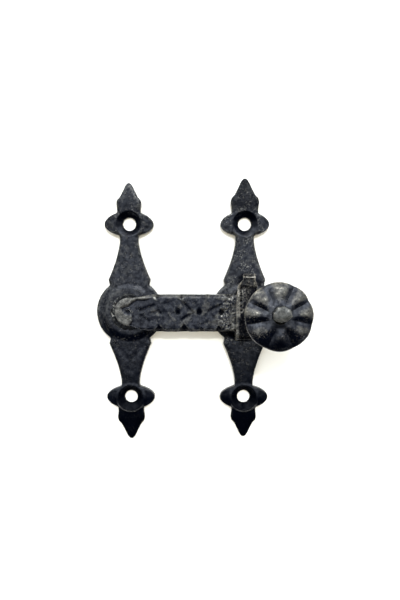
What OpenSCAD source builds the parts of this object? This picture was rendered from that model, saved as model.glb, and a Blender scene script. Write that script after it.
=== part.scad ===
// Hand-forged drop latch for a cupboard, gate or shutter: a bar that pivots on one
// plate falls into an open hook on a second plate, and a fluted knob lifts it out.
// X runs along the bar, Z is up, and the plates' backs lie on y = 0 with their fronts
// towards -Y. The origin is on the bar's pivot, at the back of the pivot plate.

/* [Plates] */
// Thickness of both plates
plate_t = 3; // [2.8:0.1:4]
// Distance between the two plates' centre lines
plate_pitch = 46; // [42:0.5:48]
// Radius of the round middle of each plate
disc_r = 13.3; // [12.8:0.1:13.6]
// Radius of the raised pad on the middle
pad_r = 10.6; // [9:0.1:11.5]
// How far the pad stands above the plate
pad_h = 0.8; // [0.4:0.1:1.2]
// Widest half-width of the flares next to the middle
flare_w = 8.5; // [8.2:0.1:9.1]
// Half-width of the narrow necks
neck_w = 3.7; // [3.2:0.1:4.2]
// Half-width across the two side lobes at each screw
lobe_w = 9.8; // [8.5:0.1:10.8]
// Half-width of each pointed end as a share of its length
finial_share = 0.41; // [0.36:0.01:0.44]
// Reach of the pivot plate's upper tip
pivot_tip_up = 51.2; // [48:0.1:58]
// Reach of the pivot plate's lower tip
pivot_tip_down = 52.6; // [48:0.1:58]
// Reach of the keeper plate's upper tip
keeper_tip_up = 52.9; // [48:0.1:58]
// Reach of the keeper plate's lower tip
keeper_tip_down = 51.8; // [48:0.1:58]

/* [Screw holes] */
// Distance between a plate's two screw holes
hole_pitch = 70; // [68:0.5:72]
// Diameter of the screw holes
hole_d = 5; // [4:0.1:5.4]
// Diameter of the countersinks at the front
sink_d = 10; // [9:0.1:10.4]

/* [Bar] */
// Thickness of the bar
bar_t = 4; // [3.5:0.1:4.5]
// Half-width of the bar between the plates
bar_w = 7; // [6.4:0.1:7.3]
// Width of the bevels along the bar's front edges
bar_bevel = 1.1; // [0.6:0.1:1.4]
// Radius of the rounded end about the pivot
pivot_end_r = 5.5; // [5:0.1:6]
// Radius of the eye that carries the knob
knob_end_r = 7.6; // [6.5:0.1:8]
// Distance from the pivot to the knob
knob_x = 55.6; // [54.5:0.1:58]
// Height of the knob above the pivot
knob_z = 0.5; // [0:0.1:0.7]

/* [Pivot] */
// Diameter of the pivot rivet's shank
rivet_d = 3.2; // [2.8:0.1:4]
// Diameter of the rivet's flush heads
rivet_head_d = 5; // [4.6:0.1:6]
// Diameter of the washer between plate and bar
washer_d = 14.8; // [12:0.1:16]
// Thickness of the washer
washer_t = 1; // [0.6:0.1:1.4]

/* [Keeper hook] */
// Half-width of the hook's strap
hook_w = 4.05; // [3.5:0.05:4.5]
// Thickness of the tongue in front of the bar
tongue_t = 2.4; // [2:0.1:2.8]
// Thickness of the arm under the bar
arm_t = 3.4; // [3:0.1:4]
// Height of the lip's top edge
lip_z = 15.6; // [14.8:0.1:16.4]
// Outward lean of the lip, in degrees
lip_lean = 40; // [30:1:45]
// Free space between the bar and the tongue
tongue_gap = 0.6; // [0.4:0.1:1]

/* [Knob] */
// Diameter of the fluted rosette
knob_d = 24; // [22:0.5:25]
// Distance from the bar's front to the back of the rosette
collar_l = 15.8; // [12:0.1:18]
// Diameter of the collar between bar and rosette
collar_d = 7.2; // [6.5:0.1:7.6]
// Diameter of the knob rivet's shank
shank_d = 4; // [3.5:0.1:4.5]
// Width of the rivet's hammered head
boss_d = 6.8; // [6:0.1:8]
// Number of petals
petals = 8; // [6:1:12]

/* [Hidden] */
$fn = 96;

plate_color = [0.22, 0.23, 0.25];
bar_color = [0.27, 0.28, 0.30];
worn_color = [0.38, 0.38, 0.36];
slip = 0.06;                        // running clearance about the pivot rivet
cut = 1;                            // how far a cutter runs past the face it opens
neck_z = 28.6;                      // height of the narrowest point of a neck
flare_z = 12.8;                     // height of a flare's widest point
flare_root_z = 9;                   // height where a flare is well inside the disc
flare_nip = 0.6;                    // step in from the flare to the notch beside the disc
flare_lip = 2;                      // height of that step's sloping edge
flare_fall = 1.5;                   // how fast a flare narrows to its neck; 1 makes it straight
lobe_z = 34.7;                      // height of the lobes' widest point
lobe_up = 4.9;                      // a lobe's reach above that point
lobe_down = 4.3;                    // and below it
lobe_point = 1.5;                   // how pointed the lobes are; 1 makes plain ellipses
finial_z = 39;                      // height where the pointed end starts

// Half of a pointed end: [share of its length, share of its half-width]
finial_shape = [[0, 0.94], [0.14, 0.94], [0.33, 1], [0.44, 0.94], [0.53, 0.73], [0.63, 0.6],
                [0.74, 0.47], [0.86, 0.34], [0.95, 0.21], [1, 0.08]];

pad_y = -(plate_t + pad_h);         // front of the pads
bar_back = pad_y - washer_t;        // back face of the bar
bar_front = bar_back - bar_t;       // front face of the bar
tongue_back = bar_front - tongue_gap;
tongue_front = tongue_back - tongue_t;
rosette_back = bar_front - collar_l;
end_shift = 0.6;                    // how far the round end is off the pivot, along and up
taper_x = 10;                       // where the bar reaches its full width after the pivot
side_share = 0.96;                  // how far across the round ends the bar's sides start
side_lap = 0.5;                     // how far those sides run into the round ends
dot_places = [12.7, 19.7, 27.8, 36.7];
dot_r = 0.9;                        // radius of the punched dots
dot_depth = 0.5;
rest_gap = 0.1;                     // space left under the resting bar
arm_top = -bar_w - rest_gap;        // upper face of the hook's arm
arm_bottom = arm_top - arm_t;
hook_fillet = 0.5;                  // radius inside the corner of arm and tongue
hook_corner = 2.2;                  // radius outside that corner
bend_z = 9.6;                       // height where the tongue starts to bend out into the lip
bend_r = 2;                         // radius in front of that bend
shoulder_z = 10.6;                  // height where the strap starts to narrow to the lip
shoulder_w = 0.6;                   // how far the strap's left edge has drawn in there
tenon_w = 3;                        // half-width of the tenon through the keeper plate
tenon_t = 2.6;                      // thickness of that tenon
lip_w = 2.3;                        // half-width of the lip's top
lip_side = 0.6;                     // sideways offset of the lip
rim_t = 2;                          // thickness of the rosette at its rim
rim_round = 0.4;                    // rounding of the rim's edges
crown_t = 4.6;                      // thickness of the rosette at its middle
crown_r = 4.2;                      // radius of the flat middle
dish_depth = 0.8;                   // depth of the hollow in the rosette's back
boss_h = 2.6;                       // height of the rivet's head on the rosette
crease = 1.5;                       // size of the creases between petals
crease_slope = 14;                  // their fall towards the rim, in degrees
boss_sides = 8;                     // flats hammered round the rivet's head

// One side's points of a lobe, from its foot up, as two quarter ellipses
function lobe_side() = [
    for (a = [-90:10:90])
        [neck_w + (lobe_w - neck_w) * pow(cos(a), lobe_point),
         lobe_z + (a < 0 ? lobe_down : lobe_up) * sin(a)]
];

// One side's points of a flare, which narrows to the neck on a falling curve
function flare_side(steps = 16) = concat(
    [[flare_w - flare_nip, flare_root_z], [flare_w - flare_nip, flare_z - flare_lip]],
    [for (i = [0:steps])
        let (s = i / steps)
        [neck_w + (flare_w - neck_w) * pow(1 - s, flare_fall), flare_z + s * (neck_z - flare_z)]],
    [[neck_w, lobe_z]]
);

// One side's points of a pointed end that reaches up to tip
function finial_side(tip) = [
    for (p = finial_shape) [finial_share * (tip - finial_z) * p[1], finial_z + (tip - finial_z) * p[0]]
];

// Closes a side's points with their mirror image
module both_sides(side) {
    n = len(side);
    polygon(concat(side, [for (i = [n - 1:-1:0]) [-side[i][0], side[i][1]]]));
}

module plate_end(tip) {
    both_sides(flare_side());
    both_sides(lobe_side());
    both_sides(finial_side(tip));
}

// The plate's outline, with x across it and y up it
module plate_outline(tip_up, tip_down) {
    circle(r = disc_r);
    plate_end(tip_up);
    mirror([0, 1]) plate_end(tip_down);
}

// Stands a flat drawing upright with its back on y = from, grown towards -Y
module upright(from, thickness) {
    translate([0, from, 0]) rotate([90, 0, 0]) linear_extrude(thickness) children();
}

// A cylinder or cone along Y, from y = from to y = to
module along_y(from, to, r_from, r_to) {
    translate([0, from, 0]) rotate([90, 0, 0]) cylinder(h = from - to, r1 = r_from, r2 = r_to);
}

module screw_hole() {
    sink_depth = (sink_d - hole_d) / 2;
    along_y(cut, -plate_t - cut, hole_d / 2, hole_d / 2);
    along_y(sink_depth - plate_t, -plate_t, hole_d / 2, sink_d / 2);
    along_y(-plate_t, -plate_t - cut, sink_d / 2, sink_d / 2);
}

module plate_blank(tip_up, tip_down) {
    difference() {
        union() {
            upright(0, plate_t) plate_outline(tip_up, tip_down);
            along_y(0, pad_y, pad_r, pad_r);
        }
        for (side = [-1, 1]) translate([0, 0, side * hole_pitch / 2]) screw_hole();
    }
}

// The pivot rivet's flush tail, in the back of its plate
module rivet_tail() {
    tail_h = (rivet_head_d - rivet_d) / 2;
    along_y(0, -tail_h, rivet_head_d / 2, rivet_d / 2);
}

module pivot_plate() color(plate_color) difference() {
    plate_blank(pivot_tip_up, pivot_tip_down);
    along_y(cut, pad_y - cut, rivet_d / 2, rivet_d / 2);
    rivet_tail();
}

module hook_tenon(from, to) {
    translate([-tenon_w, to, arm_top - (arm_t + tenon_t) / 2])
        cube([2 * tenon_w, from - to, tenon_t]);
}

module keeper_plate() color(plate_color) translate([plate_pitch, 0, 0]) difference() {
    plate_blank(keeper_tip_up, keeper_tip_down);
    hook_tenon(cut, pad_y - cut);
}

module pivot_washer() color(worn_color) difference() {
    along_y(pad_y, bar_back, washer_d / 2, washer_d / 2);
    along_y(pad_y + cut, bar_back - cut, rivet_d / 2, rivet_d / 2);
}

// The rivet is tight in plate and washer, and its front head holds the bar on
module pivot_rivet() color(worn_color) {
    head_h = (rivet_head_d - rivet_d) / 2;
    along_y(0, bar_front, rivet_d / 2, rivet_d / 2);
    rivet_tail();
    along_y(bar_front + head_h, bar_front, rivet_d / 2, rivet_head_d / 2);
}

// The bar's outline: a round pivot end, a straight middle, and a round knob end
module bar_outline() {
    eye_w = side_share * knob_end_r;
    end_w = side_share * pivot_end_r;
    start_x = end_shift + side_lap;
    stop_x = knob_x - side_lap;
    mid_w = (end_w + 2 * bar_w) / 3;
    translate([end_shift, end_shift]) circle(r = pivot_end_r);
    translate([knob_x, knob_z]) circle(r = knob_end_r);
    polygon([
        [start_x, end_shift - end_w], [taper_x / 2, -mid_w], [taper_x, -bar_w],
        [plate_pitch + hook_w, -bar_w], [stop_x, knob_z - eye_w],
        [stop_x, knob_z + eye_w], [plate_pitch + hook_w, bar_w],
        [taper_x, bar_w], [taper_x / 2, mid_w], [start_x, end_shift + end_w]
    ]);
}

// Cuts the bevel along one front edge of the bar, from the pivot end to the hook
module bevel_cut() {
    translate([0, bar_front, bar_w - bar_bevel]) rotate([90, 0, 90])
        linear_extrude(plate_pitch + hook_w)
            polygon([[-cut, -cut], [bar_bevel + cut, bar_bevel + cut], [-cut, bar_bevel + cut]]);
}

// Punched dots along the middle of the bar
module bar_dots() {
    for (x = dot_places) translate([x, 0, 0])
        along_y(bar_front + dot_depth, bar_front, 0, dot_r);
}

module latch_bar() color(bar_color) {
    head_h = (rivet_head_d - rivet_d) / 2;
    sink_h = boss_d / 2 - shank_d / 2;
    difference() {
        upright(bar_back, bar_t) bar_outline();
        along_y(bar_back + cut, bar_front - cut, rivet_d / 2 + slip, rivet_d / 2 + slip);
        along_y(bar_front + head_h, bar_front, rivet_d / 2 + slip, rivet_head_d / 2 + slip);
        translate([knob_x, 0, knob_z]) {
            along_y(bar_back + cut, bar_front - cut, shank_d / 2, shank_d / 2);
            along_y(bar_back, bar_back - sink_h, boss_d / 2, shank_d / 2);
        }
        bar_dots();
        bevel_cut();
        mirror([0, 0, 1]) bevel_cut();
    }
}

// The hook seen from its side, with x forwards from the wall and y up
module hook_side() {
    bend_x = bend_r - tongue_front;
    back_r = bend_r + tongue_t;
    lip_l = (lip_z - bend_z - back_r * sin(lip_lean)) / cos(lip_lean);
    lip_step = lip_l * [sin(lip_lean), cos(lip_lean)];
    polygon(concat(
        [[-pad_y, arm_top]],
        [for (a = [270:15:360])
            [-tongue_back + hook_fillet * (cos(a) - 1), arm_top + hook_fillet * (sin(a) + 1)]],
        [for (a = [0:lip_lean / 5:lip_lean]) [bend_x - back_r * cos(a), bend_z + back_r * sin(a)]],
        [[bend_x - back_r * cos(lip_lean), bend_z + back_r * sin(lip_lean)] + lip_step,
         [bend_x - bend_r * cos(lip_lean), bend_z + bend_r * sin(lip_lean)] + lip_step],
        [for (a = [lip_lean:-lip_lean / 5:0]) [bend_x - bend_r * cos(a), bend_z + bend_r * sin(a)]],
        [for (a = [0:-10:-90])
            [-tongue_front + hook_corner * (cos(a) - 1), arm_bottom + hook_corner * (sin(a) + 1)]],
        [[-pad_y, arm_bottom]]
    ));
}

// The hook seen from the front: a strap whose top narrows to the lip
module hook_front() {
    waist_z = 2.5;
    lip_foot = 13;
    polygon([
        [-hook_w, arm_bottom - cut], [hook_w, arm_bottom - cut], [hook_w, shoulder_z],
        [lip_side + lip_w, lip_foot], [lip_side + lip_w, lip_z + cut],
        [lip_side - lip_w, lip_z + cut], [lip_side - lip_w, lip_foot],
        [2 * shoulder_w - hook_w, shoulder_z + 1], [shoulder_w - hook_w, shoulder_z],
        [-hook_w, waist_z]
    ]);
}

module keeper_hook() color(bar_color) translate([plate_pitch, 0, 0]) {
    intersection() {
        rotate([90, 0, -90]) translate([0, 0, -hook_w]) linear_extrude(2 * hook_w) hook_side();
        upright(pad_y, 3 * tongue_t - tongue_front) hook_front();
    }
    hook_tenon(0, pad_y - arm_t / 2);
}

module knob_collar() color(bar_color) translate([knob_x, 0, knob_z]) difference() {
    along_y(bar_front, rosette_back, collar_d / 2, collar_d / 2);
    along_y(bar_front + cut, rosette_back - cut, shank_d / 2, shank_d / 2);
}

// The rosette's half section, with x outwards and y forwards from its back
module rosette_section() {
    r = knob_d / 2;
    polygon(concat(
        [[shank_d / 2, 0], [collar_d / 2, 0], [collar_d / 2 + 2 * dish_depth, dish_depth],
         [r - rim_t, dish_depth], [r - rim_round, 0], [r, rim_round], [r, rim_t - rim_round]],
        [for (s = [0:0.125:1])
            [r - rim_round - s * (r - rim_round - crown_r), rim_t + (crown_t - rim_t) * sin(90 * s)]],
        [[shank_d / 2, crown_t]]
    ));
}

module knob_rosette() color(worn_color) translate([knob_x, rosette_back, knob_z]) rotate([90, 0, 0])
    difference() {
        rotate_extrude() rosette_section();
        for (i = [0:petals - 1]) rotate([0, 0, (i + 0.5) * 360 / petals])
            translate([knob_d / 2, 0, rim_t]) rotate([0, crease_slope, 0]) rotate([45, 0, 0])
                cube([knob_d - 2 * crown_r - cut, crease, crease], center = true);
    }

// One hammered rivet holds the knob: eight-sided head, shank, and a flush tail behind the bar
module knob_rivet() color(worn_color) translate([knob_x, 0, knob_z]) {
    head_y = rosette_back - crown_t;
    sink_h = boss_d / 2 - shank_d / 2;
    along_y(bar_back, head_y - boss_h / 2, shank_d / 2, shank_d / 2);
    along_y(bar_back, bar_back - sink_h, boss_d / 2, shank_d / 2);
    translate([0, head_y, 0]) rotate([90, 180 / boss_sides, 0])
        cylinder(h = boss_h, d = boss_d, $fn = boss_sides);
}

pivot_plate();
keeper_plate();
pivot_washer();
pivot_rivet();
latch_bar();
keeper_hook();
knob_collar();
knob_rosette();
knob_rivet();
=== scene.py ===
"""Looks of the forged drop latch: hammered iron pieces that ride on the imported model's bodies."""
import math

import bpy
import numpy as np
from mathutils import Matrix, Vector, kdtree, noise


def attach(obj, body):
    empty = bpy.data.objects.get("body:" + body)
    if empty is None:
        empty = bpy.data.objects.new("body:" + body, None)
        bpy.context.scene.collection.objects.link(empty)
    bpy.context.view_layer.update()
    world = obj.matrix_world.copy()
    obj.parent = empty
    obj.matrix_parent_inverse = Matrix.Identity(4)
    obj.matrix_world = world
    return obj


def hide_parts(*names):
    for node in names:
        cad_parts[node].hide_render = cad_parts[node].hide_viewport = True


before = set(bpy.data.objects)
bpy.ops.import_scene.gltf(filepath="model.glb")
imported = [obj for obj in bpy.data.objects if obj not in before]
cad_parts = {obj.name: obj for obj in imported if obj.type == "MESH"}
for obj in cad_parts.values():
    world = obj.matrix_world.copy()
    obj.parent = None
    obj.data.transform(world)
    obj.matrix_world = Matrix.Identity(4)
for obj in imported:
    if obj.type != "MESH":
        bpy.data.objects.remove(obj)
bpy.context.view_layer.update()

# ---------------------------------------------------------------- sizes, in millimetres
MM = 0.001
COARSE = 1
# The plates, with a raised pad in the middle and a countersunk hole in each lobe
PLATE_T = 3.0
PITCH = 46.0
PAD_R = 10.6
PAD_RISE = 0.8
HOLE_Z = 35.0
SINK_R = 5.0
FINIAL_Z = 40.2
TIP_Z = 53.0
# The bar, from the pivot at x = 0, with the washer behind it
BAR_FRONT = -8.8
BAR_BACK = -4.8
BAR_HALF_W = 7.0
EYE_RIM_R = 3.1
PIVOT_R = 1.6
WASHER_R = 7.4
WASHER_T = 1.0
# The knob on the bar's free end
KNOB_X, KNOB_Z = 55.6, 0.5
KNOB_SHANK_R = 2.0
COLLAR_R = 3.6
ROSETTE_BACK = -24.6
ROSETTE_R = 12.0
CROWN_T = 4.6
KNOB_HEAD_RISE = 2.6

# Notches in the bar's bevels: (place, half-width, depth)
TOP_NOTCHES = ((11.5, 2.6, 2.2), (21.0, 2.5, 2.0), (31.0, 1.9, 1.3), (39.4, 2.2, 1.8))
BOTTOM_NOTCHES = ((12.3, 2.7, 2.9), (22.0, 3.0, 3.2), (28.8, 1.6, 2.1), (35.5, 2.2, 2.7))
# The bright, rubbed crescent round the bar's pivot end
RUBBED_END = [(-9, -9), (0.4, -9), (0.4, -4.6), (1.3, -3.9), (2.0, -2.2), (1.6, -0.9), (0.2, -0.7),
              (-1.3, -0.2), (-2.2, 1.0), (-2.7, 2.0), (-1.6, 2.7), (0.6, 3.3), (1.9, 4.4), (3.8, 5.5),
              (7.6, 5.2), (10.2, 6.0), (13.5, 7.4), (13.5, 9), (-9, 9)]
# Chisel strokes in the bar's front: (start, end, depth)
CHISEL_STROKES = [((5.2, 1.2), (10.0, 2.8), 1.0), ((9.2, -0.1), (12.0, 0.9), 0.8),
                  ((19.9, 5.0), (22.4, 3.0), 0.8), ((22.4, 3.0), (25.6, 0.1), 0.9),
                  ((25.6, 0.1), (21.3, -2.3), 1.0),
                  ((31.5, 0.8), (36.3, 2.9), 1.0), ((31.5, 0.8), (33.6, -1.6), 0.5),
                  ((5.4, -1.2), (8.4, -3.2), 0.6), ((14.2, 3.2), (17.6, 4.4), 0.4),
                  ((28.8, -4.4), (31.0, -3.2), 0.4), ((38.2, 4.2), (40.4, 2.2), 0.5)]
# Punched dots along the bar: (place, half-height in half-widths, depth)
PUNCHED_DOTS = [(14.6, 1.1, 0.4), (19.6, 1.3, 0.8), (27.9, 1.35, 1.0), (36.7, 1.15, 1.0)]
# Where the knob's valleys lie, in degrees counterclockwise from its right side
VALLEYS = (29, 64, 115, 154, 194, 248, 295, 348)
# Faint strokes on the plates' flares, from the plate's centre: (start, end, 1 above or -1 below it)
LEAF_MARKS = {
    "pivot_plate": [((-5.6, 13.4), (-0.4, 19.6), -1), ((5.4, 13.2), (0.6, 19.2), -1),
                    ((0, 19.2), (0.2, 23.6), -1), ((-0.4, 22.8), (-0.3, 24.2), -1),
                    ((-1.2, 15.0), (-1.8, 21.5), 1)],
    "keeper_plate": [((-1.4, 17.6), (-0.8, 25.4), 1), ((-5.2, 15.4), (-1.6, 16.8), 1),
                     ((1.0, 14.2), (3.4, 19.0), 1)],
}
# Heights of the vice marks along the hook's left edge
VICE_MARKS = (9.6, 8.7, 7.9, 7.0, 5.1, 3.0, 1.4)


# ---------------------------------------------------------------- meshes as numpy arrays
class Work:
    """A mesh being shaped: its points in millimetres, its edges, and at each point from 0 to 1 its wear
    with painted highlights, its grime with painted shade, and its specks, partly painted glints."""

    def __init__(self, mesh):
        self.mesh = mesh
        self.co = np.empty(len(mesh.vertices) * 3)
        mesh.vertices.foreach_get("co", self.co)
        self.co = self.co.reshape(-1, 3)
        edges = np.empty(len(mesh.edges) * 2, dtype=np.int64)
        mesh.edges.foreach_get("vertices", edges)
        self.edges = edges.reshape(-1, 2)
        self.count = np.bincount(self.edges.ravel(), minlength=len(self.co))
        self.wear_and_highlight = np.zeros(len(self.co))
        self.grime_and_shade = np.zeros(len(self.co))
        self.specks_and_glints = np.full(len(self.co), 0.4)

    def average(self, values):
        """Each point's mean of values over its neighbours."""
        a, b = self.edges[:, 0], self.edges[:, 1]
        flat = values.reshape(len(values), -1)
        total = np.zeros_like(flat)
        for k in range(flat.shape[1]):
            total[:, k] += np.bincount(a, flat[b, k], minlength=len(flat))
            total[:, k] += np.bincount(b, flat[a, k], minlength=len(flat))
        return (total / self.count[:, None]).reshape(values.shape)

    def smooth(self, rounds):
        for _ in range(rounds):
            self.co += 0.5 * (self.average(self.co) - self.co)

    def blurred(self, values, rounds):
        for _ in range(rounds):
            values = 0.5 * values + 0.5 * self.average(values)
        return values

    def normals(self):
        self.mesh.vertices.foreach_set("co", self.co.ravel())
        self.mesh.update()
        n = np.empty(len(self.co) * 3)
        self.mesh.vertex_normals.foreach_get("vector", n)
        return n.reshape(-1, 3)

    def add_wear_and_highlight(self, amount):
        self.wear_and_highlight = np.clip(self.wear_and_highlight + amount, 0, 1)

    def add_grime_and_shade(self, amount):
        self.grime_and_shade = np.clip(self.grime_and_shade + amount, 0, 1)

    def curvature(self, rounds):
        """How far each point stands out of its neighbourhood, in millimetres."""
        pull = self.co - self.average(self.co)
        return self.blurred(np.einsum("ij,ij->i", pull, self.normals()), rounds)


def smoothstep(low, high, value):
    t = np.clip((value - low) / (high - low), 0.0, 1.0)
    return t * t * (3 - 2 * t)


def fine_copy(node, voxel):
    """A closed, even copy of a CAD node's solid, in millimetres."""
    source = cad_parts[node].data.copy()
    source.transform(Matrix.Scale(1 / MM, 4))
    holder = bpy.data.objects.new("work_" + node, source)
    bpy.context.scene.collection.objects.link(holder)
    remesh = holder.modifiers.new("even", "REMESH")
    remesh.mode = "VOXEL"
    remesh.voxel_size = voxel * COARSE
    evaluated = holder.evaluated_get(bpy.context.evaluated_depsgraph_get())
    mesh = bpy.data.meshes.new_from_object(evaluated)
    bpy.data.objects.remove(holder)
    bpy.data.meshes.remove(source)
    return Work(mesh)


def even_loop(corners, step, rounds):
    """Points spaced evenly round a closed outline, with its corners rounded by averaging."""
    corners = np.array(corners, float)
    nexts = np.roll(corners, -1, axis=0)
    points = []
    for a, b in zip(corners, nexts):
        n = max(1, int(round(np.linalg.norm(b - a) / step)))
        points += [a + (b - a) * i / n for i in range(n)]
    points = np.array(points)
    for _ in range(rounds):
        points = 0.5 * points + 0.25 * (np.roll(points, 1, axis=0) + np.roll(points, -1, axis=0))
    return points


def dense_path(path, step):
    """The path with points added between its own, so that neighbours lie about step apart."""
    dense = [path[0]]
    for a, b in zip(path, path[1:]):
        n = max(1, int(math.dist(a, b) / step))
        dense += [(a[0] + (b[0] - a[0]) * i / n, a[1] + (b[1] - a[1]) * i / n) for i in range(1, n + 1)]
    return dense


def ring_solid(section, segments, centre, name):
    """A section of (radius, depth) turned round the -Y axis through centre (x, y, z). It is a closed
    loop round a hole, or a path from radius 0 to radius 0, whose two ends become fans."""
    angles = np.arange(segments) * 2 * math.pi / segments
    solid_core = section[0][0] == 0
    ring = section[1:-1] if solid_core else section
    rings = len(ring)
    co = np.empty((rings, segments, 3))
    for i, (r, depth) in enumerate(ring):
        co[i, :, 0] = centre[0] + r * np.cos(angles)
        co[i, :, 1] = centre[1] - depth
        co[i, :, 2] = centre[2] + r * np.sin(angles)
    points = [tuple(p) for p in co.reshape(-1, 3)]
    faces = []
    last = rings - 1 if solid_core else rings
    for i in range(last):
        j = (i + 1) % rings
        for k in range(segments):
            m = (k + 1) % segments
            faces.append((i * segments + k, i * segments + m, j * segments + m, j * segments + k))
    if solid_core:
        for end, first in ((section[0], 0), (section[-1], last * segments)):
            tip = len(points)
            points.append((centre[0], centre[1] - end[1], centre[2]))
            for k in range(segments):
                m = (k + 1) % segments
                fan = (tip, first + m, first + k)
                faces.append(fan if first == 0 else fan[::-1])
    mesh = bpy.data.meshes.new(name)
    mesh.from_pydata(points, [], faces)
    mesh.update()
    work = Work(mesh)
    outward = np.einsum("ij,ij->i", work.normals(), work.co - work.co.mean(axis=0)).mean()
    if outward < 0:
        mesh.flip_normals()
    return work


# ---------------------------------------------------------------- forging marks
def wavy(co, size, seed, octaves=1):
    """Smooth noise at the points co, with lumps about size millimetres across."""
    shift = Vector((seed * 17.3, seed * 5.9, seed * 11.1))
    return np.array([noise.fractal(Vector(p) / size + shift, 1.0, 2.0, octaves) for p in co])


def dimples(co, size, seed):
    """Hammer dimples about size millimetres across: 0 in their middles, up to about 1 between them."""
    shift = Vector((seed * 7.7, seed * 3.1, seed * 9.2))
    return np.array([noise.voronoi(Vector(p) / size + shift)[0][0] for p in co])


def to_segment(x, z, start, end):
    """Distance in the X-Z plane from points to a straight stroke."""
    a, b = np.array(start, float), np.array(end, float)
    along = b - a
    t = ((x - a[0]) * along[0] + (z - a[1]) * along[1]) / (along @ along)
    t = np.clip(t, 0, 1)
    return np.hypot(x - a[0] - t * along[0], z - a[1] - t * along[1])


def inside(x, z, corners):
    """1 where a point lies inside the polygon, else 0."""
    result = np.zeros(len(x), bool)
    for (xa, za), (xb, zb) in zip(corners, corners[1:] + corners[:1]):
        crosses = (za > z) != (zb > z)
        slope_x = xa + (z - za) / (zb - za + 1e-12) * (xb - xa)
        result ^= crosses & (x < slope_x)
    return result.astype(float)


def press(work, amount):
    """Moves points back from the front by amount, weighted by how squarely they face the front."""
    work.co[:, 1] += amount * np.clip(-work.normals()[:, 1], 0, 1)


def roughen(work, coarse, fine, seed):
    """Forged waviness and fine scale over the whole surface, along its normals."""
    normals = work.normals()
    lumps = coarse * (wavy(work.co, size=3.2, seed=seed, octaves=2) - 0.5)
    lumps += fine * wavy(work.co, size=0.9, seed=seed + 3, octaves=2)
    work.co += lumps[:, None] * normals


def set_wear_and_shade(work, spread, gain, seed):
    """Rubbed convex edges and dirt in hollows, from the finished shape's curvature; faces turned down get
    less wear, a painted shade.
    """
    bend = work.curvature(spread)
    scale = np.percentile(np.abs(bend), 96) + 1e-9
    ragged = 0.65 + 0.7 * wavy(work.co, size=1.4, seed=seed + 5, octaves=2)
    # painted shade: less bright wear where the surface faces down
    ragged *= 0.3 + 0.7 * smoothstep(-0.7, 0.0, work.normals()[:, 2])
    work.wear_and_highlight = np.maximum(work.wear_and_highlight, np.clip(gain * bend / scale * ragged, 0, 1))
    work.grime_and_shade = np.maximum(work.grime_and_shade, np.clip(-1.2 * bend / scale, 0, 1))


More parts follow.
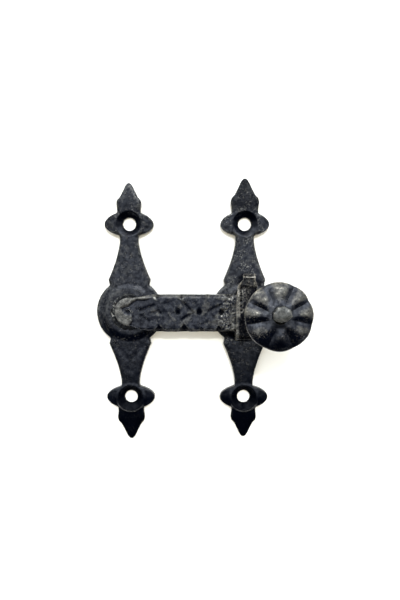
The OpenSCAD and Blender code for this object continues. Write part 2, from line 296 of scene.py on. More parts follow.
# ---------------------------------------------------------------- materials
def iron(name, base, worn, bright, roughness, gloss=0.34):
    """Blackened iron: a blue-black skin (base), warmer metal where it is rubbed and where a highlight is
    painted (worn), and bare metal on edges and flecks (bright), the flecks partly painted glints. The
    skin is rougher where it is worn, and duller and darker where dirt and painted shade lie."""
    mat = bpy.data.materials.new(name)
    mat.use_nodes = True
    nodes, links = mat.node_tree.nodes, mat.node_tree.links
    shader = nodes["Principled BSDF"]
    coord = nodes.new("ShaderNodeTexCoord")

    def texture(scale, detail, rough=0.6):
        n = nodes.new("ShaderNodeTexNoise")
        n.inputs["Scale"].default_value = scale
        n.inputs["Detail"].default_value = detail
        n.inputs["Roughness"].default_value = rough
        links.new(coord.outputs["Object"], n.inputs["Vector"])
        return n.outputs["Fac"]

    def ramp(value, low, high, to_low=0.0, to_high=1.0):
        n = nodes.new("ShaderNodeMapRange")
        n.inputs["From Min"].default_value = low
        n.inputs["From Max"].default_value = high
        n.inputs["To Min"].default_value = to_low
        n.inputs["To Max"].default_value = to_high
        links.new(value, n.inputs["Value"])
        return n.outputs["Result"]

    def math_node(operation, a, b):
        n = nodes.new("ShaderNodeMath")
        n.operation = operation
        n.use_clamp = True
        for socket, value in zip(n.inputs, (a, b)):
            if isinstance(value, (int, float)):
                socket.default_value = value
            else:
                links.new(value, socket)
        return n.outputs[0]

    def mix(factor, a, b):
        n = nodes.new("ShaderNodeMix")
        n.data_type = "RGBA"
        links.new(factor, n.inputs["Factor"])
        for socket, value in ((n.inputs["A"], a), (n.inputs["B"], b)):
            if isinstance(value, tuple):
                socket.default_value = (*value, 1)
            else:
                links.new(value, socket)
        return n.outputs["Result"]

    def attribute(label):
        n = nodes.new("ShaderNodeAttribute")
        n.attribute_name = label
        return n.outputs["Fac"]

    cloud = texture(scale=180, detail=4)
    scale_grain = texture(scale=900, detail=5, rough=0.7)
    mottle = texture(scale=700, detail=4, rough=0.72)
    dots = ramp(texture(scale=1800, detail=1, rough=0.5), 0.57, 0.66)
    patches = ramp(texture(scale=300, detail=3), 0.46, 0.60)
    # bright flecks: partly bare-metal specks, partly painted glints
    bright_fleck_and_glint = math_node("MULTIPLY", math_node("MULTIPLY", dots, patches), attribute("specks_and_glints"))
    wear_and_highlight = attribute("wear_and_highlight")
    grime_and_shade = attribute("grime_and_shade")

    skin = mix(ramp(cloud, 0.35, 0.68), tuple(c * 0.5 for c in base), base)
    skin = mix(bright_fleck_and_glint, skin, tuple(0.75 * c for c in bright))
    uneven = ramp(mottle, 0.4, 0.6, 0.45, 1.25)
    ragged = math_node("MULTIPLY", wear_and_highlight, uneven)
    rubbed = mix(ramp(ragged, 0.08, 0.7), skin, worn)
    bare = math_node("MULTIPLY", ramp(ragged, 0.55, 1.0), ramp(scale_grain, 0.3, 0.6))
    edged = mix(bare, rubbed, bright)
    # darker where dirt and painted shade lie
    dirt_and_shade_colour = mix(math_node("MULTIPLY", grime_and_shade, 0.8), edged, tuple(c * 0.3 for c in base))
    links.new(dirt_and_shade_colour, shader.inputs["Base Color"])

    rough_base = ramp(scale_grain, 0.3, 0.7, roughness + 0.05, roughness - 0.03)
    rough_worn = math_node("ADD", rough_base, math_node("MULTIPLY", wear_and_highlight, 0.14))
    links.new(rough_worn, shader.inputs["Roughness"])
    metal = math_node("MAXIMUM", ramp(ragged, 0.05, 0.8, 0.0, 0.85), bright_fleck_and_glint)
    links.new(metal, shader.inputs["Metallic"])
    sheen = math_node("MULTIPLY", ramp(grime_and_shade, 0.0, 1.0, gloss, 0.1 * gloss), uneven)
    links.new(sheen, shader.inputs["Specular IOR Level"])

    def bump(height, strength, distance):
        n = nodes.new("ShaderNodeBump")
        n.inputs["Strength"].default_value = strength
        n.inputs["Distance"].default_value = distance * MM
        links.new(height, n.inputs["Height"])
        return n

    grain = bump(scale_grain, strength=0.6, distance=0.05)
    pits = bump(texture(scale=420, detail=3), strength=0.4, distance=0.06)
    links.new(grain.outputs["Normal"], pits.inputs["Normal"])
    links.new(pits.outputs["Normal"], shader.inputs["Normal"])
    return mat


PLATE_IRON = iron("plate_iron", base=(0.0006, 0.0012, 0.0034), worn=(0.065, 0.063, 0.055),
                  bright=(0.21, 0.20, 0.165), roughness=0.20)
BAR_IRON = iron("bar_iron", base=(0.0009, 0.0016, 0.0044), worn=(0.104, 0.099, 0.083),
                bright=(0.32, 0.30, 0.25), roughness=0.22, gloss=0.38)
HOOK_IRON = iron("hook_iron", base=(0.0009, 0.0014, 0.0034), worn=(0.118, 0.109, 0.088),
                 bright=(0.42, 0.38, 0.31), roughness=0.22)
KNOB_IRON = iron("knob_iron", base=(0.0009, 0.0015, 0.0038), worn=(0.105, 0.097, 0.076),
                 bright=(0.32, 0.29, 0.23), roughness=0.21, gloss=0.43)
RIVET_IRON = iron("rivet_iron", base=(0.0045, 0.0050, 0.0055), worn=(0.112, 0.110, 0.094),
                  bright=(0.35, 0.325, 0.27), roughness=0.30)


# ---------------------------------------------------------------- finished pieces
def finish_piece(work, name, body, node, material):
    """Turns a shaped mesh into a piece that stands for a CAD node."""
    work.normals()
    for label, values in (("wear_and_highlight", work.wear_and_highlight), ("grime_and_shade", work.grime_and_shade), ("specks_and_glints", work.specks_and_glints)):
        layer = work.mesh.attributes.new(label, "FLOAT", "POINT")
        layer.data.foreach_set("value", np.clip(values, 0, 1).astype(np.float32))
    work.mesh.transform(Matrix.Scale(MM, 4))
    for polygon in work.mesh.polygons:
        polygon.use_smooth = True
    work.mesh.materials.clear()
    work.mesh.materials.append(material)
    piece = bpy.data.objects.new(name, work.mesh)
    bpy.context.scene.collection.objects.link(piece)
    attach(piece, body)
    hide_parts(node)


def outline_distance(work, centre_x):
    """Distance across the plate from each point to the plate's outer edge."""
    n = work.normals()
    x, z = work.co[:, 0] - centre_x, work.co[:, 2]
    wall = (np.abs(n[:, 1]) < 0.35) & (np.hypot(x, np.abs(z) - HOLE_Z) > SINK_R + 0.3)
    wall &= np.hypot(x, z) > PAD_R + 0.8
    tree = kdtree.KDTree(int(wall.sum()))
    for i, k in enumerate(np.nonzero(wall)[0]):
        tree.insert((x[k], z[k], 0), i)
    tree.balance()
    return np.array([tree.find((a, b, 0))[2] for a, b in zip(x, z)])


def plate(node, centre_x, seed):
    """A cast plate: domed lobes, thin lower end, soft pad, and faint leaf marks on the flares."""
    work = fine_copy(node, voxel=0.3)
    work.smooth(2)
    x, z = work.co[:, 0] - centre_x, work.co[:, 2]
    edge = outline_distance(work, centre_x)
    centre = np.hypot(x, z)
    hole = np.hypot(x, np.abs(z) - HOLE_Z)
    even_pad_and_sinks(work, centre, hole, edge)
    dome_lobes(work, x, z, hole, edge)

    # forging marks, pits and waviness, all of them clear of the countersinks
    calm = smoothstep(SINK_R - 0.3, SINK_R + 0.8, hole)
    leaf = np.zeros(len(x))
    for start, end, turn in LEAF_MARKS[node]:
        stroke = to_segment(x, turn * z, start, end)
        leaf = np.maximum(leaf, np.exp(-((stroke / 1.1) ** 2)))
    crust = 0.5 + 0.5 * wavy(work.co, size=5.0, seed=seed + 7, octaves=2)
    pitted = 0.05 * crust * smoothstep(0.2, 0.7, wavy(work.co, size=1.1, seed=seed + 9, octaves=3))
    press(work, calm * (0.09 * leaf + pitted))
    roughen(work, coarse=0.035 * calm, fine=0.012 * calm, seed=seed)
    work.co[:, 1] = np.minimum(work.co[:, 1], 0.0)

    # more wear on the upper half, in blotches, and beside the pad; the upper half lighter than the lower
    # is a painted highlight of the light from above
    set_wear_and_shade(work, spread=2, gain=0.6, seed=seed)
    work.wear_and_highlight *= np.where(z > 0, 1.0, 0.45) * (0.3 + 0.7 * calm)
    blotch = smoothstep(0.0, 0.5, wavy(work.co, size=2.4, seed=seed + 11, octaves=3))
    blotch *= smoothstep(4, 12, z)
    beside_pad = smoothstep(15.0, 12.0, centre) * smoothstep(-9, -2, z) * smoothstep(1.0, -5.0, x)
    work.add_wear_and_highlight((0.22 * blotch + 0.16 * beside_pad) * calm)

    # painted shade: the lower end and the countersinks are darkest; a band higher up is darker too, and
    # on the keeper a painted shadow of the knob crosses the lower flare
    work.grime_and_shade *= 0.2 + 0.8 * calm
    # painted shade, darker towards the lower end
    work.grime_and_shade = np.maximum(work.grime_and_shade, 0.95 * smoothstep(34, 45, -z))
    # specks, partly painted glints, are densest on the upper half, where the light falls
    if node == "keeper_plate":
        work.specks_and_glints = np.where(z > 0, 0.95, 0.6 * smoothstep(-34, -10, z))
        # a darker finial, and a painted shadow of the knob across the lower flare
        band = 0.75 * smoothstep(39, 43, z) + 0.22 * smoothstep(10, 16, -z)
    else:
        work.specks_and_glints = 0.30 + 0.5 * smoothstep(18, 34, z) - 0.2 * smoothstep(5, 20, -z)
        band = 0.28 * smoothstep(29, 33, z)
    work.specks_and_glints = work.specks_and_glints * calm
    # painted shade in the countersinks
    sink_shade = np.where(z > 0, 0.5 * smoothstep(-1, 2, z - HOLE_Z), 0.95)
    work.grime_and_shade = np.maximum.reduce([work.grime_and_shade, band, (1 - calm) * sink_shade])
    return work


def even_pad_and_sinks(work, centre, hole, edge):
    """Puts the pad's and the countersinks' points on smooth surfaces, free of remeshing steps."""
    facing = -work.normals()[:, 1]
    pad = (facing > 0.2) & (centre < PAD_R + 1.6) & (centre > 3.0) & (edge > 0.7)
    pad_y = -PLATE_T - PAD_RISE * (1 - smoothstep(PAD_R - 1.8, PAD_R + 1.4, centre))
    work.co[pad, 1] = pad_y[pad]
    cone = (facing > 0.2) & (hole > SINK_R / 2 + 0.15) & (hole < SINK_R - 0.1)
    work.co[cone, 1] = -PLATE_T + 0.88 * (SINK_R - hole[cone])


def dome_lobes(work, x, z, hole, edge):
    """Thins the plate towards its points, its lobes' sides and its rolled edge."""
    height = np.abs(z)
    point_slope = 0.38 * smoothstep(FINIAL_Z, TIP_Z, height)
    point_slope = np.maximum(point_slope, 0.55 * smoothstep(22.0, 56.0, -z))
    side = smoothstep(3.8, 9.5, np.abs(x)) * smoothstep(29.5, 31.5, height)
    side *= 1 - smoothstep(39.0, 41.0, height)
    lobe_dome = np.where(z > 0, 0.28, 0.12) * side * smoothstep(0.0, 1.0, 1.15 - edge / 3.2)
    lobe_dome = work.blurred(np.where(z > 0, lobe_dome, lobe_dome + point_slope), 6)
    rolled = 0.24 * np.exp(-edge / 0.6)
    keep = smoothstep(SINK_R - 0.2, SINK_R + 1.6, hole)
    thinner = np.maximum.reduce([point_slope + 0.6 * rolled, lobe_dome, rolled])
    work.co[:, 1] *= 1 - keep * thinner


def notch_depth(x, z):
    """How far the flat, triangular notches cut through the bar's bevels into its front."""
    depth = np.zeros(len(x))
    for sign, steepness, notches in ((1, 0.8, TOP_NOTCHES), (-1, 0.4, BOTTOM_NOTCHES)):
        for place, half_wide, deep in notches:
            rim = BAR_HALF_W + 0.3 - (deep + 0.3) * (1 - np.abs(x - place) / half_wide)
            into = np.clip(sign * z - rim, 0, 1.6) * (np.abs(x - place) < half_wide)
            depth = np.maximum(depth, steepness * into)
    return depth


def notched_bar():
    """The hammered bar: notched bevels, a rubbed round end, chisel strokes and punched dots."""
    work = fine_copy("latch_bar", voxel=0.24)
    work.smooth(2)
    x, z = work.co[:, 0].copy(), work.co[:, 2].copy()
    front = smoothstep(BAR_BACK - 1.2, BAR_FRONT + 0.8, work.co[:, 1])
    straight = smoothstep(2.5, 8.0, x) * (1 - smoothstep(42.5, 45.0, x))
    notch_cut = notch_depth(x, z)
    ripple = 0.10 * np.cos(x * 1.35 + 0.6) * smoothstep(4.6, 6.2, np.abs(z))
    work.co[:, 1] += front * straight * (work.blurred(notch_cut, 1) + ripple)

    # the eye's rim is drawn in under the pivot's flush head, so no seam shows
    from_pivot = np.hypot(x, z)
    eye = (from_pivot < EYE_RIM_R) & (work.co[:, 1] < BAR_FRONT + 0.9)
    closed = np.where(eye, 1 - 0.28 / np.maximum(from_pivot, 1), 1)
    work.co[:, 0] *= closed
    work.co[:, 2] *= closed
    work.co[eye, 1] = BAR_FRONT

    # hammering has spread the straight part a little
    work.co[:, 2] *= 1 + 0.045 * smoothstep(5, 9, x) * (1 - smoothstep(41.0, 42.4, x))

    # the round end is sunk, all but its rubbed crescent
    crescent = work.blurred(inside(x, z, RUBBED_END) * (1 - smoothstep(4.5, 13.0, x)), 4)
    end_zone = 1 - smoothstep(6.0, 14.0, x)
    press(work, 0.40 * (1 - crescent) * end_zone)

    cut = np.zeros(len(x))
    for start, end, deep in CHISEL_STROKES:
        cut = np.maximum(cut, deep * np.exp(-((to_segment(x, z, start, end) / 0.62) ** 2)))
    dots = np.zeros(len(x))
    for dot_x, tall, deep in PUNCHED_DOTS:
        dots += deep * np.exp(-(np.hypot(x - dot_x, (z - 0.45) / tall) ** 3))
    hammered = dimples(work.co, size=3.4, seed=2)
    press(work, 0.21 * cut + 0.34 * dots + 0.14 * (1 - hammered))
    roughen(work, coarse=0.07, fine=0.02, seed=1)
    crust = smoothstep(33, 38, x) * (1 - smoothstep(43, 46, x))
    work.co[:, 1] += 0.14 * crust * front * wavy(work.co, size=0.8, seed=9, octaves=3)
    bar_looks(work, x, z, front, crescent, crust)

    # dirt lies in the dots and strokes; the notches and the lower bevel carry painted shade, and one
    # lower corner a painted glint
    shade = np.clip(notch_cut * np.where(z > 0, 1.6, 8.0), 0, 1) * front
    # painted shade along the lower bevel, which faces down
    lower = smoothstep(6.0, 6.8, -z)
    work.wear_and_highlight *= (1 - 0.85 * lower) * (1 - 0.9 * shade * (z < 0))
    work.grime_and_shade *= 0.5
    work.add_grime_and_shade(0.9 * dots + 0.25 * cut + shade * np.where(z > 0, 0.5, 1.0) + lower)
    # painted glint on one lower corner
    glint_corner = np.exp(-(((x - 41.4) / 1.5) ** 2) - ((z + 5.6) / 1.1) ** 2)
    work.add_wear_and_highlight(1.4 * glint_corner * (wavy(work.co, size=0.6, seed=63, octaves=2) > 0) * front)
    return work


def bar_looks(work, x, z, front, crescent, crust):
    """Wear on the bar's crescent and front, a painted highlight along its upper edge, and bright beads in
    the crust by the hook.
    """
    near_end = smoothstep(8, 10, x) * (1 - smoothstep(20, 34, x))
    # painted highlight along the upper edge, which faces the light
    top_edge_highlight = np.exp(-(((z - BAR_HALF_W + 0.55) / 0.3) ** 2)) * near_end
    work.wear_and_highlight = np.maximum(0.62 * crescent * front, work.wear_and_highlight + 0.45 * top_edge_highlight * front)
    set_wear_and_shade(work, spread=3, gain=0.6, seed=1)
    blotches = smoothstep(0.0, 0.5, wavy(work.co, size=3.4, seed=15, octaves=2))
    work.add_wear_and_highlight(0.26 * blotches * front * smoothstep(6, 12, x))
    beads = (wavy(work.co, size=0.9, seed=12, octaves=2) > 0.24) * crust * front
    work.add_wear_and_highlight((0.6 + 0.4 * smoothstep(37, 40, x)) * beads)
    work.specks_and_glints = 0.12 + 0.88 * crust


def hook():
    """The bent strap of the keeper, with vice marks down one edge and a worn lip."""
    work = fine_copy("keeper_hook", voxel=0.22)
    work.smooth(3)
    x, z = work.co[:, 0] - PITCH, work.co[:, 2]
    rng = np.random.default_rng(4)
    marks = np.zeros(len(x))
    for mark_z in VICE_MARKS:
        offset, wide = rng.uniform(-0.2, 0.25), rng.uniform(0.30, 0.42)
        marks += np.exp(-((np.hypot(x + 2.05 + offset, z - mark_z) / wide) ** 2))
    press(work, 0.3 * marks)
    roughen(work, coarse=0.08, fine=0.03, seed=6)
    set_wear_and_shade(work, spread=1, gain=2.0, seed=6)

    # bright along the left edge, patchily further down, and beside the lip on the right
    before_bar = work.co[:, 1] < BAR_FRONT - 0.2
    left_edge = smoothstep(-2.35, -2.75, x) * smoothstep(-3.5, 0.5, z) * before_bar
    work.add_wear_and_highlight(left_edge * (1.0 + 0.6 * wavy(work.co, size=1.1, seed=61, octaves=2)))
    # painted shadow of the knob: less wear on the lower part
    work.wear_and_highlight *= 0.3 + 0.7 * smoothstep(-3.0, 0.5, z)
    foot_edge = smoothstep(-2.7, -3.1, x) * smoothstep(-12.0, -11.0, z) * (1 - smoothstep(-3.0, 0.0, z))
    work.add_wear_and_highlight(foot_edge * (0.34 + 0.6 * wavy(work.co, size=1.1, seed=62, octaves=2)))
    right_edge = smoothstep(2.1, 2.6, x) * smoothstep(10.0, 11.0, z) * (1 - smoothstep(15.0, 15.3, z))
    work.add_wear_and_highlight(0.7 * right_edge)
    tongue = smoothstep(-1.5, 1.0, z) * smoothstep(BAR_FRONT - 0.2, BAR_FRONT - 1.7, work.co[:, 1])
    work.add_wear_and_highlight(tongue * (0.08 + 0.3 * wavy(work.co, size=1.6, seed=8, octaves=3)))

    # dark in the marks and across the lip's bend, and a painted shadow of the knob on the lower half but
    # not its edge
    bend = np.exp(-(((z - 14.75) / 0.4) ** 2)) * (np.abs(x) < 1.8) * before_bar
    knob_shadow = (1 - smoothstep(-2.5, 0.0, z)) * (1 - foot_edge)
    work.grime_and_shade *= 1 - 0.8 * left_edge
    work.add_grime_and_shade(0.9 * marks + 0.8 * knob_shadow + 0.8 * bend)
    work.specks_and_glints = 0.5 - 0.3 * left_edge
    return work


def petal_bulge(angle):
    """1 in the middle of a petal and 0 in a valley, at an angle in degrees."""
    places = (VALLEYS[-1] - 360,) + VALLEYS + (VALLEYS[0] + 360,)
    return np.abs(np.sin(math.pi * np.interp(angle % 360, places, np.arange(len(places)))))


def rosette():
    """Eight bulging petals, with valleys between them, on a domed disc that leans up a little."""
    r, crown_r, dome_r = ROSETTE_R, 4.2, ROSETTE_R - 0.35
    back = [(KNOB_SHANK_R, 0), (COLLAR_R, 0), (5.2, 0.8), (r - 2, 0.8), (r - 0.7, 0.05)]
    rim = [(r, 0.5), (r, 1.95)]
    dome = [(crown_r + t * (dome_r - crown_r), CROWN_T - 1.7 * t ** 1.4 - 0.45 * smoothstep(0.75, 1.0, t))
            for t in np.linspace(1, 0, 16)]
    section = even_loop(back + rim + dome + [(KNOB_SHANK_R, CROWN_T)], step=0.3 * COARSE, rounds=2)
    work = ring_solid(section, 288 // COARSE, (KNOB_X, ROSETTE_BACK, KNOB_Z), "rosette")
    x, z = work.co[:, 0] - KNOB_X, work.co[:, 2] - KNOB_Z
    radius = np.hypot(x, z)
    bulge = petal_bulge(np.degrees(np.arctan2(z, x) + 0.05 * wavy(work.co, size=8.0, seed=21)))
    valley = 1 - bulge
    depth = 1.05 * smoothstep(3.4, 7.0, radius) * (1 - 0.55 * smoothstep(9.4, 12.0, radius))
    depth *= 1 + 0.2 * wavy(work.co, size=7.0, seed=24)
    face = smoothstep(ROSETTE_BACK - 0.9, ROSETTE_BACK - 1.7, work.co[:, 1])
    lift = 0.2 * bulge * np.exp(-(((radius - 8.6) / 1.8) ** 2))
    lean = (0.065 * z + 0.02 * x) * smoothstep(3.0, 7.0, radius)
    work.co[:, 1] += face * (depth * valley - lift)
    work.co[:, 1] += lean
    scale = 1.010 - 0.022 * valley * smoothstep(8, 12, radius) + 0.012 * wavy(work.co, size=9.0, seed=23)
    work.co[:, 0] = KNOB_X + x * scale
    work.co[:, 2] = KNOB_Z + z * scale
    roughen(work, coarse=0.05, fine=0.006, seed=14)

    # wear on the ridges and petals, kept to where they face up: painted highlight above and painted shade
    # below; a painted shadow under the rivet's head and painted shade on the lowest petal
    set_wear_and_shade(work, spread=3, gain=0.35, seed=14)
    ridge = smoothstep(0.6, 1.0, bulge) * smoothstep(4.6, 7.0, radius) * face
    petal = smoothstep(0.3, 0.8, bulge) * smoothstep(5.0, 8.0, radius) * face
    rubbed = 0.08 + 0.5 * wavy(work.co, size=1.6, seed=26, octaves=3)
    rubbed += 0.35 * wavy(work.co, size=0.6, seed=27, octaves=2)
    # painted highlight and shade: wear only where the surface faces up
    faces_up_highlight = np.clip(work.normals()[:, 2] * 2.2 + 0.65, 0, 1)
    work.wear_and_highlight = np.clip(faces_up_highlight * (work.wear_and_highlight + ridge * np.clip(rubbed, 0, 0.3) + 0.36 * petal), 0, 1)
    # painted shadow under the rivet's head
    shadow_under_head = smoothstep(-4.2, -3.2, z) * (1 - smoothstep(-1.8, -1.2, z))
    shadow_under_head *= np.exp(-(((x + 0.3) / 2.5) ** 4))
    # painted shade on the lowest petal, which faces down
    shaded_lowest_petal = np.exp(-(((x - 0.2) / 2.6) ** 2)) * smoothstep(-5.8, -8.0, z) * face
    work.wear_and_highlight *= 1 - 0.9 * shaded_lowest_petal
    work.grime_and_shade *= 0.3
    work.add_grime_and_shade(shadow_under_head * face + 0.8 * shaded_lowest_petal)
    work.specks_and_glints = (0.08 + 0.2 * ridge) * (1 - shaded_lowest_petal)
    return work


def hammered_rivet():
    """The knob's rivet: an uneven eight-sided head, its shank, and a flush tail behind the bar."""
    crown_y = ROSETTE_BACK - CROWN_T
    head = BAR_BACK - crown_y
    tip = head + KNOB_HEAD_RISE
    section = [(0, 0), (3.3, 0.02), (3.2, 0.15), (KNOB_SHANK_R, 1.4), (KNOB_SHANK_R, head - 0.1),
               (3.05, head + 0.05)]
    wall = [(3.3, head + 0.4), (3.35, head + 1.0), (3.25, head + 1.6), (2.9, head + 2.15)]
    top = [(2.3, tip - 0.2), (1.5, tip - 0.06), (0.8, tip), (0, tip)]
    path = dense_path(section + wall + top, 0.35 * COARSE)
    work = ring_solid(path, 96 // COARSE, (KNOB_X, BAR_BACK, KNOB_Z), "rivet")
    x, z = work.co[:, 0] - KNOB_X, work.co[:, 2] - KNOB_Z
    angle = np.arctan2(z, x) + 0.2
    side = 2 * math.pi / 8
    flat = math.cos(side / 2) / np.cos(angle % side - side / 2)
    uneven = 1 + 0.05 * np.sin(angle * 2 + 0.7) + 0.03 * np.sin(angle * 3 + 2)
    is_head = smoothstep(crown_y + 0.3, crown_y, work.co[:, 1])
    scale = 1 + is_head * (flat * uneven - 1)
    # the head was hammered over towards the top of the knob
    work.co[:, 0] = KNOB_X + x * scale + 0.4 * is_head
    work.co[:, 2] = KNOB_Z + z * scale * (1 - 0.05 * is_head) + 1.25 * is_head
    roughen(work, coarse=0.1, fine=0.04, seed=31)
    set_wear_and_shade(work, spread=2, gain=0.5, seed=31)
    top_y = crown_y - KNOB_HEAD_RISE
    work.add_wear_and_highlight(0.42 * smoothstep(top_y + 0.8, top_y + 0.2, work.co[:, 1]))
    return work


def collar():
    """The tube between bar and rosette, forged a little fuller at its ends."""
    length = BAR_FRONT - ROSETTE_BACK
    corners = [(KNOB_SHANK_R, 0), (COLLAR_R, 0), (COLLAR_R - 0.15, 0.3 * length),
               (COLLAR_R - 0.1, 0.6 * length), (COLLAR_R, length), (KNOB_SHANK_R, length)]
    section = even_loop(corners, step=0.3 * COARSE, rounds=2)
    work = ring_solid(section, 72 // COARSE, (KNOB_X, BAR_FRONT, KNOB_Z), "collar")
    roughen(work, coarse=0.12, fine=0.05, seed=41)
    set_wear_and_shade(work, spread=2, gain=0.7, seed=41)
    return work


def washer():
    """A cast washer with a chipped rim that shows round the bar's end."""
    corners = [(PIVOT_R, 0), (WASHER_R, 0), (WASHER_R, WASHER_T - 0.3), (WASHER_R - 0.3, WASHER_T),
               (PIVOT_R, WASHER_T)]
    section = even_loop(corners, step=0.22 * COARSE, rounds=2)
    work = ring_solid(section, 180 // COARSE, (0, -PLATE_T - PAD_RISE, 0), "washer")
    x, z = work.co[:, 0], work.co[:, 2]
    radius = np.hypot(x, z)
    chips = np.clip(wavy(work.co * (1, 0.2, 1), size=1.5, seed=51, octaves=2) - 0.05, 0, 1)
    scale = 1 - 0.12 * chips * smoothstep(6.2, 7.3, radius)
    work.co[:, 0], work.co[:, 2] = x * scale, z * scale

    # a row of bright beads beside the bar's round end, on the left
    rim = smoothstep(5.7, 6.1, radius) * (1 - smoothstep(6.8, 7.2, radius))
    rim *= 1 - smoothstep(2.5, 3.5, np.abs(z))
    roughen(work, coarse=0.05, fine=0.05, seed=52)
    set_wear_and_shade(work, spread=1, gain=1.2, seed=52)
    beads = smoothstep(0.05, 0.2, wavy(work.co, size=0.8, seed=53, octaves=2)) * (x < -3.0)
    work.wear_and_highlight = np.clip(0.45 * work.wear_and_highlight + 0.9 * rim * beads, 0, 1)
    work.add_grime_and_shade(0.7 * (1 - beads))
    return work


def pivot_rivet():
    """The pivot: flush tail, shank, and a flush head rubbed down with the bar's front."""
    front = -BAR_FRONT
    corners = [(0, 0), (2.45, 0.02), (2.5, 0.05), (PIVOT_R, 0.9), (PIVOT_R, front - 0.9),
               (2.42, front - 0.16), (2.2, front - 0.08), (1.2, front - 0.08), (0, front - 0.1)]
    work = ring_solid(dense_path(corners, 0.2), 64, (0, 0, 0), "pivot")
    x, z = work.co[:, 0], work.co[:, 2]
    head = smoothstep(front - 0.7, front - 0.3, -work.co[:, 1])
    rubbed = work.blurred(inside(x, z, RUBBED_END), 1)
    dip = np.exp(-((np.hypot(x - 0.4, z - 0.4) / 0.9) ** 4))
    work.co[:, 1] += head * (0.36 * (1 - rubbed) + 0.2 * dip)
    work.wear_and_highlight = 0.52 * rubbed * head
    work.grime_and_shade = 0.6 * dip * head
    return work


finish_piece(plate("pivot_plate", 0.0, seed=71),
             "pivot_plate_forged", "plates", "pivot_plate", PLATE_IRON)
finish_piece(plate("keeper_plate", PITCH, seed=72),
             "keeper_plate_forged", "plates", "keeper_plate", PLATE_IRON)
finish_piece(washer(), "pivot_washer_worn", "plates", "pivot_washer", RIVET_IRON)
finish_piece(pivot_rivet(), "pivot_rivet_flush", "plates", "pivot_rivet", BAR_IRON)
finish_piece(hook(), "keeper_hook_forged", "plates", "keeper_hook", HOOK_IRON)
finish_piece(notched_bar(), "latch_bar_hammered", "bar", "latch_bar", BAR_IRON)
finish_piece(collar(), "knob_collar_forged", "bar", "knob_collar", KNOB_IRON)
finish_piece(rosette(), "knob_rosette_fluted", "bar", "knob_rosette", KNOB_IRON)
finish_piece(hammered_rivet(), "knob_rivet_hammered", "bar", "knob_rivet", RIVET_IRON)


# ---------------------------------------------------------------- backdrop, light and camera
def stage_plane(name, corners, material):
    mesh = bpy.data.meshes.new(name)
    mesh.from_pydata(corners, [], [tuple(range(len(corners)))])
    mesh.materials.append(material)
    plane = bpy.data.objects.new(name, mesh)
    bpy.context.scene.collection.objects.link(plane)


def pale(name, colour, see_through_back):
    """Matt pale paint. With see_through_back, the back of the plane is clear."""
    mat = bpy.data.materials.new(name)
    mat.use_nodes = True
    nodes, links = mat.node_tree.nodes, mat.node_tree.links
    shader = nodes["Principled BSDF"]
    shader.inputs["Base Color"].default_value = (*colour, 1)
    shader.inputs["Roughness"].default_value = 0.9
    shader.inputs["Specular IOR Level"].default_value = 0.1
    if see_through_back:
        side = nodes.new("ShaderNodeNewGeometry")
        clear = nodes.new("ShaderNodeBsdfTransparent")
        blend = nodes.new("ShaderNodeMixShader")
        links.new(side.outputs["Backfacing"], blend.inputs["Fac"])
        links.new(shader.outputs["BSDF"], blend.inputs[1])
        links.new(clear.outputs["BSDF"], blend.inputs[2])
        links.new(blend.outputs["Shader"], nodes["Material Output"].inputs["Surface"])
    return mat


# In metres: the wall just behind the plates, and a floor that stands out a little way before it
WALL_Y, FLOOR_Z, REACH, FLOOR_DEPTH = 0.0002, -0.60, 1.2, 0.12
stage_plane("wall",
            [(-REACH, WALL_Y, FLOOR_Z), (REACH, WALL_Y, FLOOR_Z), (REACH, WALL_Y, REACH),
             (-REACH, WALL_Y, REACH)],
            pale("wall_white", (0.90, 0.855, 0.745), see_through_back=True))
stage_plane("floor",
            [(-REACH, -FLOOR_DEPTH, FLOOR_Z), (REACH, -FLOOR_DEPTH, FLOOR_Z), (REACH, REACH, FLOOR_Z),
             (-REACH, REACH, FLOOR_Z)],
            pale("floor_white", (0.86, 0.85, 0.83), see_through_back=False))

LOOK_AT = Vector((28.2, -PLATE_T, 4.8)) * MM


def area_light(name, direction, distance, size, power, colour=(1, 1, 1), glints=True):
    """A round soft light, distance metres from the latch. It shows in the iron only if it glints."""
    light = bpy.data.lights.new(name, "AREA")
    light.shape = "DISK"
    light.size = size
    light.energy = power
    light.color = colour
    lamp = bpy.data.objects.new(name, light)
    away = Vector(direction).normalized()
    lamp.location = LOOK_AT + away * distance
    lamp.rotation_mode = "QUATERNION"
    lamp.rotation_quaternion = away.to_track_quat("Z", "Y")
    lamp.visible_glossy = glints
    bpy.context.scene.collection.objects.link(lamp)


# The studio's brightness by height: 0 is straight below, 0.5 level and 1 straight above
SKY_STOPS = ((0.0, 0.0), (0.25, 0.0), (0.33, 0.09), (0.37, 0.16), (0.405, 0.28), (0.435, 0.60),
             (0.465, 1.0), (0.50, 0.95), (0.53, 0.78), (0.58, 0.55), (0.65, 0.75), (0.75, 1.4),
             (0.85, 1.7), (0.95, 1.2), (1.0, 0.7))
SKY_TINT = (0.88, 0.96, 1.11)
SKY_STRENGTH = 2.6


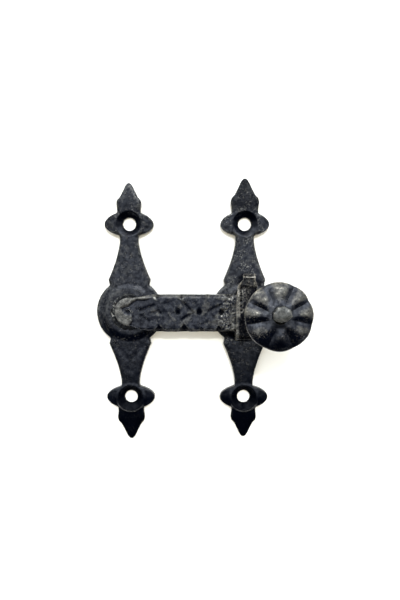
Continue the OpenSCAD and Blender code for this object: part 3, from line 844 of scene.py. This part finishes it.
def world_light():
    """Black from below, brightest from above, dimmer from the sides, and white to the camera itself."""
    world = bpy.data.worlds.new("studio")
    bpy.context.scene.world = world
    world.use_nodes = True
    nodes, links = world.node_tree.nodes, world.node_tree.links
    sky = nodes["Background"]
    coord = nodes.new("ShaderNodeTexCoord")
    split = nodes.new("ShaderNodeSeparateXYZ")
    links.new(coord.outputs["Generated"], split.inputs["Vector"])
    ramp = nodes.new("ShaderNodeValToRGB")
    shift = nodes.new("ShaderNodeMapRange")
    shift.inputs["From Min"].default_value = -1
    links.new(split.outputs["Z"], shift.inputs["Value"])
    links.new(shift.outputs["Result"], ramp.inputs["Fac"])
    elements = ramp.color_ramp.elements
    for end, (place, value) in zip(elements, (SKY_STOPS[0], SKY_STOPS[-1])):
        end.position = place
        end.color = (value, value, value, 1)
    for place, value in SKY_STOPS[1:-1]:
        elements.new(place).color = (*(value * tint for tint in SKY_TINT), 1)
    flank = nodes.new("ShaderNodeMath")
    flank.operation = "ABSOLUTE"
    links.new(split.outputs["X"], flank.inputs[0])
    dim = nodes.new("ShaderNodeMapRange")
    for socket, value in (("From Min", 0.55), ("From Max", 0.9), ("To Min", 1.0), ("To Max", 0.38)):
        dim.inputs[socket].default_value = value
    links.new(flank.outputs[0], dim.inputs["Value"])
    dimmed = nodes.new("ShaderNodeVectorMath")
    dimmed.operation = "SCALE"
    links.new(ramp.outputs["Color"], dimmed.inputs[0])
    links.new(dim.outputs["Result"], dimmed.inputs["Scale"])
    links.new(dimmed.outputs["Vector"], sky.inputs["Color"])
    sky.inputs["Strength"].default_value = SKY_STRENGTH
    white = nodes.new("ShaderNodeBackground")
    white.inputs["Color"].default_value = (1, 1, 1, 1)
    path = nodes.new("ShaderNodeLightPath")
    blend = nodes.new("ShaderNodeMixShader")
    links.new(path.outputs["Is Camera Ray"], blend.inputs["Fac"])
    links.new(sky.outputs["Background"], blend.inputs[1])
    links.new(white.outputs["Background"], blend.inputs[2])
    links.new(blend.outputs["Shader"], nodes["World Output"].inputs["Surface"])


world_light()
area_light("key", (0.10, -0.885, 0.455), distance=0.6, size=0.05, power=1.9,
           colour=(0.94, 0.98, 1.06), glints=False)
area_light("sparkle", (0.1, -0.8, 0.6), distance=0.6, size=0.10, power=0.3)
area_light("fill", (0.0, -1.0, -0.25), distance=0.7, size=0.5, power=1.1,
           colour=(1.0, 0.80, 0.32), glints=False)

CAMERA_TILT = math.radians(4.0)
CAMERA_DISTANCE = 173.0 * MM
camera_data = bpy.data.cameras.new("camera")
camera_data.lens = 26
camera_data.sensor_width = 36
camera_data.clip_start = 0.01
camera = bpy.data.objects.new("camera", camera_data)
toward = Vector((0, -math.cos(CAMERA_TILT), math.sin(CAMERA_TILT)))
camera.location = LOOK_AT + toward * CAMERA_DISTANCE
camera.rotation_mode = "QUATERNION"
camera.rotation_quaternion = toward.to_track_quat("Z", "Y")
bpy.context.scene.collection.objects.link(camera)
bpy.context.scene.camera = camera
bpy.context.scene.view_settings.view_transform = "Standard"
